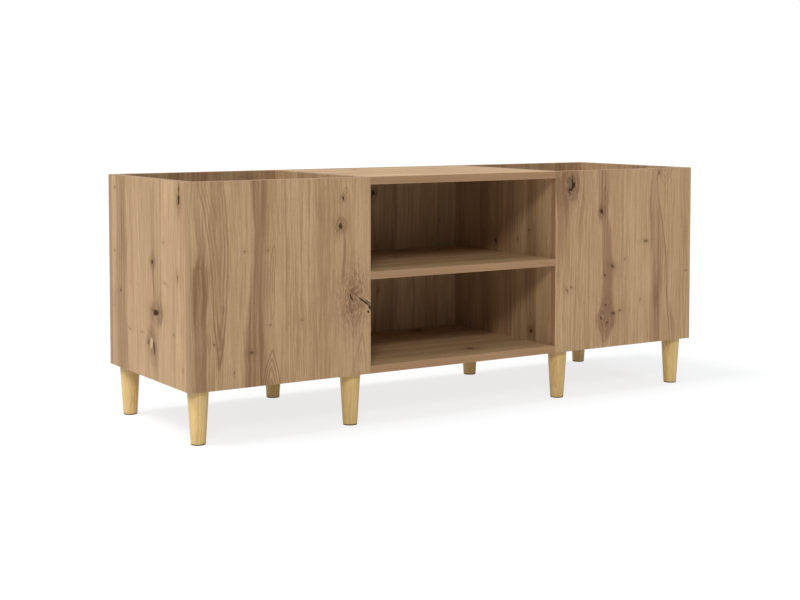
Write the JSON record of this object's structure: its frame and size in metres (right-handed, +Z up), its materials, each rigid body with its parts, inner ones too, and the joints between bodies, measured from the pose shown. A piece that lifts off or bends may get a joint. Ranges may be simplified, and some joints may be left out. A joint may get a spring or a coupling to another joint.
{
  "type": "record cabinet",
  "caption": "Low wooden record cabinet with open-topped record bins either side of a shelved open section, on tapered round legs.",
  "frame": {"origin": "on the floor, under the middle of the cabinet's footprint", "axes": "+Z up, +X along the length to the right as seen from the front, +Y from the front to the back"},
  "size_m": [1.21, 0.38, 0.48],
  "materials": {
    "oak_board": "rustic oak decor on engineered wood, matt, vertical grain on the bins and lengthwise grain on the middle boards",
    "turned_wood": "light turned solid wood, clear satin lacquer",
    "glide_plastic": "dark matt plastic glide",
    "zinc_steel": "zinc-plated steel",
    "brass": "machined brass"
  },
  "bodies": {
    "root": {"middle_top": "oak_board", "middle_shelf": "oak_board", "middle_bottom": "oak_board", "middle_back": "oak_board", "left_bin_front": "oak_board", "left_bin_back": "oak_board", "left_bin_outer_side": "oak_board", "left_bin_inner_side": "oak_board", "left_bin_bottom": "oak_board", "right_bin_front": "oak_board", "right_bin_back": "oak_board", "right_bin_outer_side": "oak_board", "right_bin_inner_side": "oak_board", "right_bin_bottom": "oak_board", "leg_left_front_outer": "turned_wood", "leg_left_front_inner": "turned_wood", "leg_left_back_outer": "turned_wood", "leg_left_back_inner": "turned_wood", "leg_right_front_outer": "turned_wood", "leg_right_front_inner": "turned_wood", "leg_right_back_outer": "turned_wood", "leg_right_back_inner": "turned_wood", "glide_left_front_outer": "glide_plastic", "glide_left_front_inner": "glide_plastic", "glide_left_back_outer": "glide_plastic", "glide_left_back_inner": "glide_plastic", "glide_right_front_outer": "glide_plastic", "glide_right_front_inner": "glide_plastic", "glide_right_back_outer": "glide_plastic", "glide_right_back_inner": "glide_plastic", "hanger_bolt_left_front_outer": "zinc_steel", "hanger_bolt_left_front_inner": "zinc_steel", "hanger_bolt_left_back_outer": "zinc_steel", "hanger_bolt_left_back_inner": "zinc_steel", "hanger_bolt_right_front_outer": "zinc_steel", "hanger_bolt_right_front_inner": "zinc_steel", "hanger_bolt_right_back_outer": "zinc_steel", "hanger_bolt_right_back_inner": "zinc_steel", "insert_left_front_outer": "brass", "insert_left_front_inner": "brass", "insert_left_back_outer": "brass", "insert_left_back_inner": "brass", "insert_right_front_outer": "brass", "insert_right_front_inner": "brass", "insert_right_back_outer": "brass", "insert_right_back_inner": "brass", "cam_top_left_front": "zinc_steel", "cam_top_left_back": "zinc_steel", "cam_top_right_front": "zinc_steel", "cam_top_right_back": "zinc_steel", "cam_shelf_left_front": "zinc_steel", "cam_shelf_left_back": "zinc_steel", "cam_shelf_right_front": "zinc_steel", "cam_shelf_right_back": "zinc_steel", "cam_bottom_left_front": "zinc_steel", "cam_bottom_left_back": "zinc_steel", "cam_bottom_right_front": "zinc_steel", "cam_bottom_right_back": "zinc_steel"}
  },
  "joints": []
}
